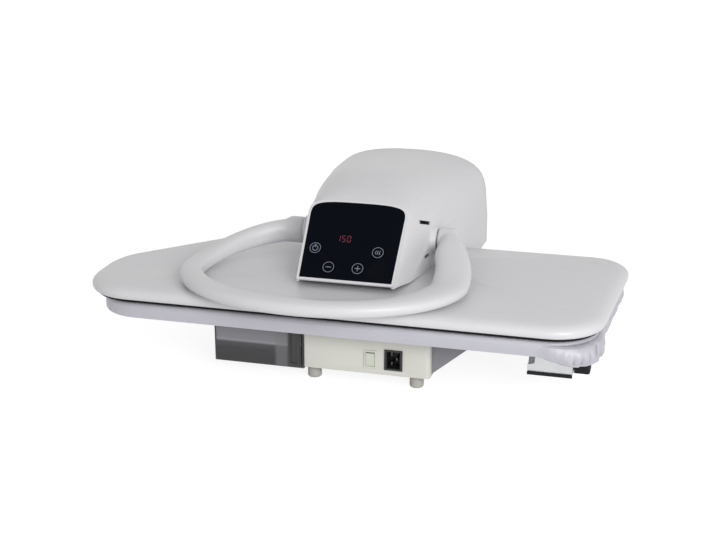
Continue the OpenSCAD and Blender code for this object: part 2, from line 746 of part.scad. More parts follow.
// Lever shaft, cam and pressure post
cam_e = 10;
cam_r = 8;
cam_rest = 20;
cam_y = shaft_y - cam_e * sin(cam_rest);
cam_z = shaft_z - cam_e * cos(cam_rest);
post_top = cam_z - cam_r - gap;
post_r = 5;
guide_z = foot_z + 3;
module lever_shaft() color("silver")
    bar_x(shaft_r, -hub_in - hub_t + 8, hub_in + hub_t - 8, shaft_y, shaft_z);

module pressure_cam() color("dimgray") difference() {
    union() {
        bar_x(cam_r, -8, 8, cam_y, cam_z);
        bar_x(9, -8, 8, shaft_y, shaft_z);
    }
    bar_x(shaft_r, -60, 60, shaft_y, shaft_z);
}

module pressure_post() color("silver") translate([0, cam_y, 0]) {
    translate([0, 0, guide_z + 2])
        cylinder(r = post_r, h = post_top - 3 - guide_z - 2);
    translate([0, 0, post_top - 3])
        cylinder(r = 11, h = 3);
}

module post_guide() color("goldenrod") translate([0, cam_y, guide_z]) difference() {
    cylinder(r = post_r + 3, h = post_top - 3 - guide_z - 3.5);
    translate([0, 0, -1])
        cylinder(r = post_r + fit, h = 30);
}

module post_spring() color("dimgray") translate([0, cam_y, guide_z]) difference() {
    cylinder(r = post_r + 5.5, h = post_top - 3 - guide_z - 0.3);
    translate([0, 0, -1])
        cylinder(r = post_r + 3.3, h = 60);
}

module hose_upper() color("whitesmoke")
    run([[run_x + 5.4, hinge_y, hinge_z], [run_x + 14, hinge_y, hinge_z],
         [run_x + 14, board_back + 30, hose_z], [hose_drop_x, hose_drop_y, hose_z],
         [hose_drop_x, hose_drop_y, foot_z + 0.05]], hose_r);

module loom_upper() color("black")
    run([[-run_x - 5.4, hinge_y, hinge_z], [-run_x - 14, hinge_y, hinge_z],
         [-run_x - 14, board_back + 30, hose_z], [-46, shaft_y + 42, loom_z],
         panel_point([-40, 50, -board_depth - 25]), panel_point([-40, 50, -board_depth - board_t])], hose_r);

// Handle: one swept loop round the front, rising to a hub on each side of the head
loop_x = -loop_shift;
loop_z = shoe_top + loop_t / 2 + 1.5;
arm_x = hub_in + hub_t / 2;
end_right = acos((arm_x - loop_x) / loop_a);
end_left = 360 - acos((-arm_x - loop_x) / loop_a);
hub_reach = shaft_y - fy - loop_yc;
rear_right = hub_reach / sin(end_right);
rear_left = hub_reach / -sin(end_left);
root_w = 23;
root_t = 30;
bulk = 17;
bulk_fade = 15;
loop_steps = 44;
function smooth(v) = let (s = min(max(v, 0), 1)) s * s * (3 - 2 * s);
// The angle runs from the right hub through the front to the left hub. The right arm is the wider
function loop_angle(i) = end_right - i / loop_steps * (end_right + end_left);
function loop_lift(t) =
    t > -90 ? smooth((t + 5) / (end_right + 5)) : smooth((-t - 183) / (end_left - 183));
function loop_point(i) =
    let (t = loop_angle(i), depth = sin(t) < 0 ? loop_b : t > -90 ? rear_right : rear_left)
    [loop_x + loop_a * cos(t), fy + loop_yc + depth * sin(t), loop_z + (shaft_z - loop_z) * loop_lift(t)];
function loop_ring(i) =
    let (a = loop_point(max(i - 1, 0)), b = loop_point(min(i + 1, loop_steps)), c = loop_point(i),
         d = unit(b - a), n = unit(cross(d, [0, 0, 1])), m = cross(n, d),
         t = loop_angle(i), s = loop_lift(t),
         more = bulk / 2 * smooth((t + 75) / 65) * smooth((end_right - t) / bulk_fade),
         w = (loop_w * (1 - s) + root_w * s) / 2 + more, h = (loop_t * (1 - s) + root_t * s) / 2)
    [for (k = [0 : 15]) let (q = 22.5 * k)
        c + (more + w * power(cos(q), 2.4)) * n + h * power(sin(q), 2.4) * m];
module handle() color("ivory") difference() {
    union() {
        skin([for (i = [0 : loop_steps]) loop_ring(loop_steps - i)]);
        bar_x(hub_r, hub_in, hub_in + hub_t, shaft_y, shaft_z);
        bar_x(hub_r, -hub_in - hub_t, -hub_in, shaft_y, shaft_z);
    }
    bar_x(shaft_r, -hub_in - hub_t + 8, hub_in + hub_t - 8, shaft_y, shaft_z);
}

base_tub();
base_plate();
rear_cowl();
control_fascia();
tank_bay();
rubber_feet();
rocker_frame();
rocker();
inlet_body();
inlet_pins();
water_tank();
tank_pull();
filler_cap();
tank_valve();
water_pump();
hose_lower();
loom_lower();
board_pan();
foam_pad();
board_cover();
rear_bracket();
hinge_pin();
torsion_springs();
end_bracket();
bracket_buffer();
base_screws();
heat_plate();
heating_element();
steam_chamber();
insulation();
thermostat();
shoe_cover();
head_shell();
panel_bezel();
panel_glass();
display();
control_board();
press_arm();
hinge_bushes();
post_guide();
post_spring();
hose_upper();
loom_upper();
handle();
lever_shaft();
pressure_cam();
pressure_post();
key_power();
key_cooler();
key_hotter();
key_steam();
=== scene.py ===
"""Table-top steam ironing press, closed, seen from the front and a little to its right."""
import math

import bmesh
import bpy
from mathutils import Matrix, Vector, noise


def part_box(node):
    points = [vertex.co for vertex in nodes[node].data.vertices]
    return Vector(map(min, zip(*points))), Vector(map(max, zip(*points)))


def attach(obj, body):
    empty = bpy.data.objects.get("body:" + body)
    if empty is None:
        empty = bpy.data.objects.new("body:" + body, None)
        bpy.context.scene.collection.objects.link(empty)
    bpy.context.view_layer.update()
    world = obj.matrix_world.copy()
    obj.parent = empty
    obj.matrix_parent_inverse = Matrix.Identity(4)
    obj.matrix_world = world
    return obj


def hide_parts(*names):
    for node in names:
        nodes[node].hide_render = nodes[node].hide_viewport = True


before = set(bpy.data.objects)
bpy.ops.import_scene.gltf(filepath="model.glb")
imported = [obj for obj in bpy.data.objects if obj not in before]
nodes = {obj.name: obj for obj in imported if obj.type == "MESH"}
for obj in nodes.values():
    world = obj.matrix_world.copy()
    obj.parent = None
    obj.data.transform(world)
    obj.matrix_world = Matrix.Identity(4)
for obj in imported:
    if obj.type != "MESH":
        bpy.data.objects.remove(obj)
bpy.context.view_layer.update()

# Camera
# It looks down on the front of the press from a little to its right, 1.6 m away,
# through a 66 mm lens on a full frame.
camera = bpy.data.objects.new("camera", bpy.data.cameras.new("camera"))
bpy.context.scene.collection.objects.link(camera)
camera.data.sensor_width = 36.0
camera.data.lens = 65.6
aim = Vector((0.0027, -0.0735, 0.120))
camera_distance = 1.6
camera.location = aim + camera_distance * Vector((0.2438, -0.9164, 0.3173))
camera.rotation_euler = (aim - camera.location).to_track_quat("-Z", "Y").to_euler()
bpy.context.scene.camera = camera

# Studio
# A white floor under an even sky, with one broad soft lamp low at the front right. The
# floor keeps the faint shadow of the press.
floor_form = bmesh.new()
bmesh.ops.create_circle(floor_form, cap_ends=True, segments=128, radius=14.0)
floor_data = bpy.data.meshes.new("floor")
floor_form.to_mesh(floor_data)
floor_form.free()
studio_floor = bpy.data.objects.new("floor", floor_data)
bpy.context.scene.collection.objects.link(studio_floor)


def seen_directly(tree):
    """One where a camera, mirror or see-through ray arrives, and nought for scattered light."""
    rays = tree.nodes.new("ShaderNodeLightPath")
    total = rays.outputs["Is Camera Ray"]
    for name in ("Is Glossy Ray", "Is Transmission Ray"):
        larger = tree.nodes.new("ShaderNodeMath")
        larger.operation = "MAXIMUM"
        tree.links.new(total, larger.inputs[0])
        tree.links.new(rays.outputs[name], larger.inputs[1])
        total = larger.outputs[0]
    return total


floor_paint = bpy.data.materials.new("floor_paint")
floor_paint.use_nodes = True
floor_tree = floor_paint.node_tree
floor_tree.nodes.clear()
floor_out = floor_tree.nodes.new("ShaderNodeOutputMaterial")
floor_mix = floor_tree.nodes.new("ShaderNodeMixShader")
floor_matt = floor_tree.nodes.new("ShaderNodeBsdfDiffuse")
floor_matt.inputs["Color"].default_value = (0.86, 0.86, 0.86, 1.0)
floor_glow = floor_tree.nodes.new("ShaderNodeEmission")
floor_glow.inputs["Color"].default_value = (1.0, 1.0, 1.0, 1.0)
floor_glow.inputs["Strength"].default_value = 1.32
glow_share = floor_tree.nodes.new("ShaderNodeMath")
glow_share.operation = "MULTIPLY"
glow_share.inputs[1].default_value = 0.66
floor_tree.links.new(seen_directly(floor_tree), glow_share.inputs[0])
floor_tree.links.new(glow_share.outputs[0], floor_mix.inputs[0])
floor_tree.links.new(floor_matt.outputs[0], floor_mix.inputs[1])
floor_tree.links.new(floor_glow.outputs[0], floor_mix.inputs[2])
floor_tree.links.new(floor_mix.outputs[0], floor_out.inputs["Surface"])
floor_data.materials.append(floor_paint)

sky = bpy.data.worlds.new("sky")
bpy.context.scene.world = sky
sky.use_nodes = True
sky_tree = sky.node_tree
sky_light = sky_tree.nodes["Background"]
sky_light.inputs["Color"].default_value = (1.0, 1.0, 1.0, 1.0)
sky_level = sky_tree.nodes.new("ShaderNodeMapRange")
sky_level.inputs["To Min"].default_value = 0.50
sky_level.inputs["To Max"].default_value = 1.0
sky_tree.links.new(seen_directly(sky_tree), sky_level.inputs["Value"])
sky_tree.links.new(sky_level.outputs["Result"], sky_light.inputs["Strength"])

lamp = bpy.data.objects.new("front_lamp", bpy.data.lights.new("front_lamp", "AREA"))
bpy.context.scene.collection.objects.link(lamp)
lamp.data.shape = "DISK"
lamp.data.size = 1.1
lamp.data.energy = 27.0
lamp.location = (1.25, -1.75, 0.95)
lamp_aim = Vector((0.0, -0.02, 0.11))
lamp.rotation_euler = (lamp_aim - lamp.location).to_track_quat("-Z", "Y").to_euler()


# Base
# A low injection-moulded tub with sloping flanks on a flat plate, with a cowl over the
# hinge bracket behind. The mouldings are screwed together from below.
def ranged(tree, source, low, high, start=0.0, end=1.0):
    """The source's run from low to high, turned into start to end."""
    made = tree.nodes.new("ShaderNodeMapRange")
    made.inputs["From Min"].default_value = low
    made.inputs["From Max"].default_value = high
    made.inputs["To Min"].default_value = start
    made.inputs["To Max"].default_value = end
    tree.links.new(source, made.inputs["Value"])
    return made.outputs["Result"]


def mixed(tree, share, first, second, blend="MIX"):
    """The second colour laid on the first by this share. Each is a value or a socket."""
    made = tree.nodes.new("ShaderNodeMix")
    made.data_type = "RGBA"
    made.blend_type = blend
    share_slot, first_slot, second_slot, colour_out = 0, 6, 7, 2
    for slot, value in ((share_slot, share), (first_slot, first), (second_slot, second)):
        if isinstance(value, bpy.types.NodeSocket):
            tree.links.new(value, made.inputs[slot])
        else:
            made.inputs[slot].default_value = value
    return made.outputs[colour_out]


def clouds(tree, place, scale, detail):
    """Soft noise of this scale over the surface."""
    made = tree.nodes.new("ShaderNodeTexNoise")
    made.inputs["Scale"].default_value = scale
    made.inputs["Detail"].default_value = detail
    tree.links.new(place, made.inputs["Vector"])
    return made


def tone_in(tree):
    """The socket that now feeds the shader's base colour."""
    return tree.nodes["Principled BSDF"].inputs["Base Color"].links[0].from_socket


def set_tone(tree, colour):
    """Feeds the shader's base colour from this socket."""
    tree.links.new(colour, tree.nodes["Principled BSDF"].inputs["Base Color"])


def object_place(tree, output="Object"):
    """The place on the object, from its own coordinates."""
    return tree.nodes.new("ShaderNodeTexCoord").outputs[output]


def finish(name, colour, roughness, metallic=0.0, tint=0.03, cloud=12.0, grain=1100.0,
           relief=0.00003, swing=0.05, scuff=0.5, wear=0.12):
    """A moulded, cast or painted surface: slow shade changes, a fine grain, faint scuffs and
    edges worn a little paler."""
    made = bpy.data.materials.new(name)
    made.use_nodes = True
    tree = made.node_tree
    shader = tree.nodes["Principled BSDF"]
    shader.inputs["Metallic"].default_value = metallic
    place = object_place(tree)

    slow = clouds(tree, place, cloud, 3.0).outputs["Fac"]
    tone = mixed(tree, slow, [c * (1.0 - tint) for c in colour] + [1.0],
                 [min(c * (1.0 + tint), 1.0) for c in colour] + [1.0])

    stretch = tree.nodes.new("ShaderNodeMapping")
    stretch.inputs["Scale"].default_value = (0.35, 1.0, 1.6)
    tree.links.new(place, stretch.inputs["Vector"])
    rub = clouds(tree, stretch.outputs["Vector"], 75.0, 8.0)
    rub.inputs["Roughness"].default_value = 0.65
    rubbed = ranged(tree, rub.outputs["Fac"], 0.60, 0.72, 0.0, scuff)
    tone = mixed(tree, rubbed, tone, [c * 0.93 for c in colour] + [1.0])

    form = tree.nodes.new("ShaderNodeNewGeometry")
    worn = ranged(tree, form.outputs["Pointiness"], 0.51, 0.60, 0.0, wear)
    set_tone(tree, mixed(tree, worn, tone, [min(c * 1.3 + 0.05, 0.9) for c in colour] + [1.0]))

    polish = ranged(tree, slow, 0.3, 0.7, max(roughness - swing, 0.02), min(roughness + swing, 1.0))
    dull = tree.nodes.new("ShaderNodeMath")
    dull.operation = "MULTIPLY_ADD"
    dull.inputs[1].default_value = 0.15
    dull.use_clamp = True
    tree.links.new(rubbed, dull.inputs[0])
    tree.links.new(polish, dull.inputs[2])
    tree.links.new(dull.outputs[0], shader.inputs["Roughness"])

    bump = tree.nodes.new("ShaderNodeBump")
    bump.inputs["Strength"].default_value = 0.7
    bump.inputs["Distance"].default_value = relief
    tree.links.new(clouds(tree, place, grain, 2.0).outputs["Fac"], bump.inputs["Height"])
    tree.links.new(bump.outputs["Normal"], shader.inputs["Normal"])
    return made


def seat(form, name, body, coat, stands_for=(), crease=20.0):
    """Makes a finished form into a piece that rides on its body."""
    data = bpy.data.meshes.new(name)
    form.to_mesh(data)
    form.free()
    data.shade_smooth()
    data.set_sharp_from_angle(angle=math.radians(crease))
    data.materials.append(coat)
    made = bpy.data.objects.new(name, data)
    bpy.context.scene.collection.objects.link(made)
    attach(made, body)
    if stands_for:
        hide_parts(*stands_for)
    return made


def eased(node, width, segments=2, turn=30.0):
    """The node's own shape, with its sharp edges rounded as a mould or a file leaves them."""
    form = bmesh.new()
    form.from_mesh(nodes[node].data)
    bmesh.ops.remove_doubles(form, verts=form.verts, dist=1e-5)
    bmesh.ops.dissolve_limit(form, angle_limit=math.radians(1.0), verts=form.verts,
                             edges=form.edges)
    sharp = [e for e in form.edges
             if e.is_manifold and e.calc_face_angle(0.0) > math.radians(turn)]
    bmesh.ops.bevel(form, geom=sharp, offset=width, offset_type="OFFSET", segments=segments,
                    profile=0.5, affect="EDGES", material=-1, clamp_overlap=True)
    bmesh.ops.dissolve_degenerate(form, dist=2e-6, edges=form.edges)
    return form


tub_grey = finish("tub_grey", (0.235, 0.235, 0.255), 0.5)
cream = finish("cream_plastic", (0.70, 0.695, 0.64), 0.42, tint=0.02)
seat(eased("base_tub", 0.0008), "tub", "base", tub_grey, ["base_tub"])
seat(eased("base_plate", 0.0005), "floor_plate", "base", tub_grey, ["base_plate"])
seat(eased("rear_cowl", 0.0012), "hinge_cowl", "base", cream, ["rear_cowl"])

# Feet and screws
# Four cream rubber buttons, with the plated screws that hold the plate between them.
foot_rubber = finish("foot_rubber", (0.47, 0.46, 0.42), 0.75, grain=500.0, relief=0.00008)
screw_steel = finish("screw_steel", (0.35, 0.35, 0.36), 0.35, metallic=1.0)
seat(eased("rubber_feet", 0.0012), "feet", "base", foot_rubber, ["rubber_feet"])
seat(eased("base_screws", 0.0004), "plate_fixings", "base", screw_steel,
     ["base_screws"])

# Front fascia
# A cream moulding with rounded ends. The mains rocker and the inlet snap into it
# from the front, each with its own flange.
switch_cream = finish("switch_cream", (0.66, 0.68, 0.60), 0.3, tint=0.015)
socket_black = finish("socket_black", (0.012, 0.012, 0.013), 0.45, tint=0.1)
pin_plate = finish("pin_plate", (0.09, 0.088, 0.082), 0.40, metallic=1.0)
seat(eased("control_fascia", 0.0012), "fascia", "base", cream, ["control_fascia"])
seat(eased("rocker_frame", 0.0004), "switch_frame", "base", switch_cream,
     ["rocker_frame"])
seat(eased("rocker", 0.0004), "switch_rocker", "rocker", switch_cream, ["rocker"])
seat(eased("inlet_body", 0.0004), "inlet_socket", "base", socket_black,
     ["inlet_body"])
seat(eased("inlet_pins", 0.0003), "inlet_blades", "base", pin_plate, ["inlet_pins"])

# Water tank
# A smoked clear box that pulls out of its bay, with a dark grip down its right side
# and a screw cap in a well on top.
smoke = finish("smoked_clear", (0.52, 0.51, 0.545), 0.16, tint=0.10, cloud=24.0, relief=0.00001)
smoke_tree = smoke.node_tree
smoke_shader = smoke_tree.nodes["Principled BSDF"]
smoke_shader.inputs["Transmission Weight"].default_value = 0.35
smoke_shader.inputs["IOR"].default_value = 1.49
smoke_axes = smoke_tree.nodes.new("ShaderNodeSeparateXYZ")
smoke_tree.links.new(object_place(smoke_tree), smoke_axes.inputs["Vector"])

# The smoke is darkened towards the bottom, with a painted highlight line across it where
# the dark part ends.
tank_rise = ranged(smoke_tree, smoke_axes.outputs["Z"], 0.012, 0.074)
tank_darkening_and_highlight = smoke_tree.nodes.new("ShaderNodeValToRGB")
ramp = tank_darkening_and_highlight.color_ramp
ramp.elements[0].position = 0.0
ramp.elements[0].color = (0.15, 0.15, 0.15, 1.0)
ramp.elements[1].position = 1.0
ramp.elements[1].color = (0.50, 0.50, 0.53, 1.0)
darkening_and_highlight_levels = ((0.06, 0.09), (0.34, 0.10), (0.46, 0.20), (0.50, 0.80), (0.55, 0.66), (0.80, 0.72))
for height, level in darkening_and_highlight_levels:
    ramp.elements.new(height).color = (level, level, level * 1.03, 1.0)
smoke_tree.links.new(tank_rise, tank_darkening_and_highlight.inputs["Fac"])
darkened_tank_tone = mixed(smoke_tree, 1.0, tone_in(smoke_tree), tank_darkening_and_highlight.outputs["Color"], "MULTIPLY")

# The smoke in the corner beside the grip is made paler.
grip_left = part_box("tank_pull")[0].x
grip_side_column = ranged(smoke_tree, smoke_axes.outputs["X"], grip_left - 0.019, grip_left - 0.015,
                      0.0, 0.55)
set_tone(smoke_tree, mixed(smoke_tree, grip_side_column, darkened_tank_tone, (0.30, 0.295, 0.31, 1.0)))
grip_dark = finish("grip_dark", (0.036, 0.037, 0.034), 0.4)
bay_dark = finish("bay_dark", (0.10, 0.10, 0.11), 0.55)
seat(eased("water_tank", 0.0014), "tank", "tank", smoke, ["water_tank"])
seat(eased("tank_pull", 0.0004), "tank_grip", "tank", grip_dark, ["tank_pull"])
seat(eased("filler_cap", 0.0006), "tank_cap", "cap", socket_black, ["filler_cap"])
seat(eased("tank_bay", 0.0005), "bay", "base", bay_dark, ["tank_bay"])

# Pump, valve, hose and wires in the base
# The pump lifts water from the tank's valve to the shoe. The hose and the wires climb
# beside the hinge, and twist on its axis.
bronze = finish("sintered_bronze", (0.52, 0.36, 0.17), 0.4, metallic=1.0, tint=0.08, grain=2200.0)
silicone = finish("hose_silicone", (0.72, 0.71, 0.66), 0.45)
wire_black = finish("wire_black", (0.02, 0.02, 0.022), 0.6)
seat(eased("water_pump", 0.0010), "pump", "base", tub_grey, ["water_pump"])
seat(eased("tank_valve", 0.0005), "valve", "base", bronze, ["tank_valve"])


def tube(name, line, radius, body, coat, stands_for):
    """A round tube or wire along this line, closed at both ends."""
    curve = bpy.data.curves.new(name, "CURVE")
    curve.dimensions = "3D"
    curve.bevel_depth = radius
    curve.bevel_resolution = 4
    curve.use_fill_caps = True
    spline = curve.splines.new("POLY")
    spline.points.add(len(line) - 1)
    for point, spot in zip(spline.points, line):
        point.co = (*spot, 1.0)
    holder = bpy.data.objects.new(name + "_line", curve)
    bpy.context.scene.collection.objects.link(holder)
    form = bmesh.new()
    form.from_mesh(holder.to_mesh())
    bmesh.ops.remove_doubles(form, verts=form.verts, dist=1e-6)
    bmesh.ops.recalc_face_normals(form, faces=form.faces)
    holder.to_mesh_clear()
    bpy.data.objects.remove(holder)
    return seat(form, name, body, coat, stands_for, crease=50.0)


def hose(name, points, radius, bend, body, coat, stands_for):
    """A round hose through these points, with each corner turned on a soft bend."""
    path = [Vector(p) for p in points]
    line = [path[0]]
    for before, corner, after in zip(path, path[1:], path[2:]):
        into = (before - corner).normalized()
        out = (after - corner).normalized()
        reach = min(bend, (before - corner).length * 0.45, (after - corner).length * 0.45)
        for step in range(9):
            t = step / 8.0
            line.append((corner + into * reach) * (1 - t) ** 2 + corner * 2 * t * (1 - t)
                        + (corner + out * reach) * t ** 2)
    line.append(path[-1])
    return tube(name, line, radius, body, coat, stands_for)


hinge_y = 0.1965
hinge_z = 0.100
hose_radius = 0.004
hose_bend = 0.010
for side, node, coat, slot in ((1, "hose_lower", silicone, "hose_silicone"),
                               (-1, "loom_lower", wire_black, "black_plastic")):
    low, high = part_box(node)
    run_y = low.y + hose_radius
    run_z = low.z + hose_radius
    climb_x = side * 0.052
    hose(node + "_run", [(side * 0.030, run_y, run_z), (climb_x, run_y, run_z),
                         (climb_x, hinge_y, run_z), (climb_x, hinge_y, hinge_z),
                         (side * 0.057, hinge_y, hinge_z)],
         hose_radius, hose_bend, "base", coat, [node])

# Board
# A painted pan with rounded ends holds a foam pad. A silver-coated cloth is drawn over
# both and gathered under the rim by its hem, most of all round the right end.
pan_paint = finish("pan_paint", (0.52, 0.52, 0.54), 0.45)
seat(eased("board_pan", 0.0008), "pan", "base", pan_paint, ["board_pan"])

front_y = -0.1885
half_l = 0.3225
board_w = 0.280
nose_step = 0.010
right_l = half_l + 0.004
left_l = -half_l + nose_step
corners = [(left_l, 0.0, 0.065), (right_l - 0.022, 0.0, 0.062), (right_l, board_w, 0.048),
           (left_l + 0.144, board_w, 0.075), (left_l, 0.124, 0.075)]


def outline(form, inset, height, steps=14):
    """The board's outline at this height, as one face that looks up."""
    spots = [Vector((x, front_y + y, height)) for x, y, _ in corners]
    form.faces.new([form.verts.new(spot) for spot in spots])
    for i, (_, _, radius) in enumerate(corners):
        before = (spots[i - 1] - spots[i]).normalized()
        after = (spots[(i + 1) % len(spots)] - spots[i]).normalized()
        reach = radius / math.tan(before.angle(after) / 2)
        corner = min(form.verts, key=lambda v: (v.co - spots[i]).length)
        bmesh.ops.bevel(form, geom=[corner], offset=reach, offset_type="OFFSET", segments=steps,
                        profile=0.5, affect="VERTICES", material=-1)
    form.faces.ensure_lookup_table()
    face = form.faces[0]
    if inset > 0:
        bmesh.ops.inset_region(form, faces=[face], thickness=inset, depth=0.0, use_even_offset=True,
                               use_boundary=True)
        outer = [f for f in form.faces if f is not face]
        bmesh.ops.delete(form, geom=outer, context="FACES")
        form.faces.ensure_lookup_table()
        face = form.faces[0]
    return face


def step_in(form, face, inset, rise):
    """Draws the face in by inset and lifts it by rise, with a wall round it."""
    if inset > 1e-7:
        bmesh.ops.inset_region(form, faces=[face], thickness=inset, depth=0.0,
                               use_even_offset=True)
        bmesh.ops.translate(form, vec=(0, 0, rise), verts=face.verts)
        return face
    grown = bmesh.ops.extrude_face_region(form, geom=[face])
    top = [g for g in grown["geom"] if isinstance(g, bmesh.types.BMFace)][0]
    bmesh.ops.translate(form, vec=(0, 0, rise), verts=top.verts)
    return top


foam_yellow = finish("foam_yellow", (0.62, 0.52, 0.28), 0.9, cloud=60.0, grain=700.0,
                     relief=0.0004)
pad_form = bmesh.new()
pad_face = outline(pad_form, 0.0112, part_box("foam_pad")[0].z)
for inset, rise in ((0.0, 0.006), (0.0008, 0.0012), (0.0022, 0.0006), (0.030, 0.0002)):
    pad_face = step_in(pad_form, pad_face, inset, rise)
bmesh.ops.recalc_face_normals(pad_form, faces=pad_form.faces)
pad = seat(pad_form, "foam", "base", foam_yellow, ["foam_pad"])

cloth = finish("silver_cloth", (0.53, 0.525, 0.58), 0.44, metallic=0.25, tint=0.07, cloud=26.0)
cloth_tree = cloth.node_tree
cloth_shader = cloth_tree.nodes["Principled BSDF"]
cloth_shader.inputs["Sheen Weight"].default_value = 0.2

# The valleys of the folds are painted darker and greyer, as painted shade in the creases.
cloth_form = cloth_tree.nodes.new("ShaderNodeNewGeometry")
painted_crease_shade = ranged(cloth_tree, cloth_form.outputs["Pointiness"], 0.499, 0.470, 0.0, 0.75)
set_tone(cloth_tree, mixed(cloth_tree, painted_crease_shade, tone_in(cloth_tree), (0.22, 0.215, 0.25, 1.0)))

cloth_place = object_place(cloth_tree)
weave = None
for direction in ("X", "Y", "Z"):
    thread = cloth_tree.nodes.new("ShaderNodeTexWave")
    thread.wave_type = "BANDS"
    thread.bands_direction = direction
    thread.inputs["Scale"].default_value = 330.0
    thread.inputs["Distortion"].default_value = 0.6
    thread.inputs["Detail"].default_value = 1.0
    cloth_tree.links.new(cloth_place, thread.inputs["Vector"])
    if weave is None:
        weave = thread.outputs["Fac"]
        continue
    crossed = cloth_tree.nodes.new("ShaderNodeMath")
    crossed.operation = "ADD"
    cloth_tree.links.new(weave, crossed.inputs[0])
    cloth_tree.links.new(thread.outputs["Fac"], crossed.inputs[1])
    weave = crossed.outputs[0]
cloth_bump = cloth_tree.nodes.new("ShaderNodeBump")
cloth_bump.inputs["Strength"].default_value = 0.5
cloth_bump.inputs["Distance"].default_value = 0.00015
cloth_tree.links.new(weave, cloth_bump.inputs["Height"])
cloth_tree.links.new(cloth_bump.outputs["Normal"], cloth_shader.inputs["Normal"])

cover_low, cover_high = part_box("board_cover")
cover_form = bmesh.new()
edge_round = 0.0056
rim = outline(cover_form, 0.0076, cover_high.z - edge_round, steps=30)
plain_pitch, end_pitch = 0.0030, 0.0013
for edge in [e for e in rim.edges if e.calc_length() > plain_pitch]:
    at_end = min(v.co.x for v in edge.verts) > 0.22
    pitch = end_pitch if at_end else plain_pitch
    bmesh.ops.subdivide_edges(cover_form, edges=[edge], cuts=int(edge.calc_length() / pitch))
cover_form.faces.ensure_lookup_table()
rim = cover_form.faces[0]
ring = [loop.vert for loop in rim.loops]
count = len(ring)
walk = [0.0]
for i in range(count):
    walk.append(walk[-1] + (ring[(i + 1) % count].co - ring[i].co).length)
outward = []
for i in range(count):
    along = (ring[(i + 1) % count].co - ring[i - 1].co).normalized()
    outward.append(Vector((along.y, -along.x, 0.0)))
rows = [ring]
skirt_rows = 14
hem_rows = 4
drop = cover_high.z - edge_round - cover_low.z - 0.0012
for _ in range(skirt_rows + hem_rows):
    last_row = set(rows[-1])
    edges = [e for e in cover_form.edges if e.verts[0] in last_row and e.verts[1] in last_row]
    grown = bmesh.ops.extrude_edge_only(cover_form, edges=edges)
    fresh = set(g for g in grown["geom"] if isinstance(g, bmesh.types.BMVert))
    below = {e.other_vert(v): v for v in fresh for e in v.link_edges
             if e.other_vert(v) not in fresh}
    rows.append([below[v] for v in rows[-1]])


def soft_step(v):
    """Nought to one with a soft start and stop."""
    v = max(0.0, min(1.0, v))
    return v * v * (3 - 2 * v)


def crumple(s, down, pitch, seed):
    """Uneven puckers round the rim, sharp on their ridges, seldom over one either way."""
    spot = Vector((s / pitch + 0.25 * math.sin(down * 3.0),
                   down * 0.65 + 0.35 * math.sin(s * 90.0), seed))
    return 1.0 - 3.2 * abs(noise.noise(spot))


# The skirt falls from the rim, bags out at the right front corner, and its hem turns under.
bag_out = 0.0080
bag_sag = 0.0105
gather_depth = 0.0058
hem_tuck = 0.0095
for j, line in enumerate(rows[1:], start=1):
    down = min(j / skirt_rows, 1.0)
    under = max(j - skirt_rows, 0) / hem_rows
    for i, vert in enumerate(line):
        s = walk[i]
        spot = ring[i].co
        end = soft_step((spot.x - 0.235) / 0.05)
        bag = end * (1.0 - soft_step((spot.y - front_y - 0.020) / 0.075))
        nose = soft_step((-0.225 - spot.x) / 0.06)
        slack = 0.015 + end * (0.30 + 0.70 * bag) + 0.14 * nose
        fold = 0.60 * crumple(s, down, 0.0115, 3.0) + 0.40 * crumple(s, down, 0.0052, 11.0)
        swell = math.sin(math.pi * (0.10 + 0.72 * down)) ** 0.8
        puff = (0.0010 + 0.0012 * end + bag_out * bag) * swell
        gather = gather_depth * slack * fold * down ** 0.6
        tuck = hem_tuck * under + 0.0015 * under * end
        vert.co = spot + outward[i] * (puff + gather - tuck) + Vector((0, 0, -drop * down))
        vert.co.z -= bag_sag * bag * down ** 1.5 * (1.0 - 0.35 * under)
        vert.co.z += (0.0010 * under + 0.0011 * down * fold) * slack
bmesh.ops.delete(cover_form, geom=[rim], context="FACES_ONLY")
top_face = cover_form.faces.new(ring)
bmesh.ops.recalc_face_normals(cover_form, faces=cover_form.faces)
for inset, rise in ((0.0009, 0.0021), (0.0018, 0.0018), (0.0030, 0.0013), (0.030, 0.0003)):
    top_face = step_in(cover_form, top_face, inset, rise)
bmesh.ops.recalc_face_normals(cover_form, faces=cover_form.faces)
cloth_area = sum(f.calc_area() for f in cover_form.faces)
cover = seat(cover_form, "cover_cloth", "base", cloth, ["board_cover"],
             crease=80.0)
cover_wall = cover.modifiers.new("cloth_thickness", "SOLIDIFY")
cover_wall.thickness = 0.0007
cover_wall.offset = -1.0


# Rear hinge
# A folded zinc-plated bracket carries a pin. Two wound springs beside its cheeks help
# to lift the head.
zinc = finish("zinc_plate", (0.60, 0.61, 0.62), 0.34, metallic=1.0, tint=0.10, cloud=45.0)
spring_steel = finish("spring_steel", (0.22, 0.22, 0.23), 0.32, metallic=1.0)
seat(eased("rear_bracket", 0.0006), "hinge_bracket", "base", zinc, ["rear_bracket"])
seat(eased("hinge_pin", 0.0006), "hinge_axle", "base", zinc, ["hinge_pin"])


def wound(name, start, step, turns, radius, wire, body, stands_for):
    """A wire wound round a line from start, one step further with each turn."""
    along = step.normalized()
    side = Vector((0, 1, 0)) if abs(along.y) < 0.5 else Vector((1, 0, 0))
    up = along.cross(side)
    per_turn = 24
    coil = []
    for i in range(int(turns * per_turn) + 1):
        turn = math.tau * i / per_turn
        coil.append(start + step * (i / per_turn)
                    + (side * math.cos(turn) + up * math.sin(turn)) * radius)
    return tube(name, coil, wire, body, spring_steel, stands_for)


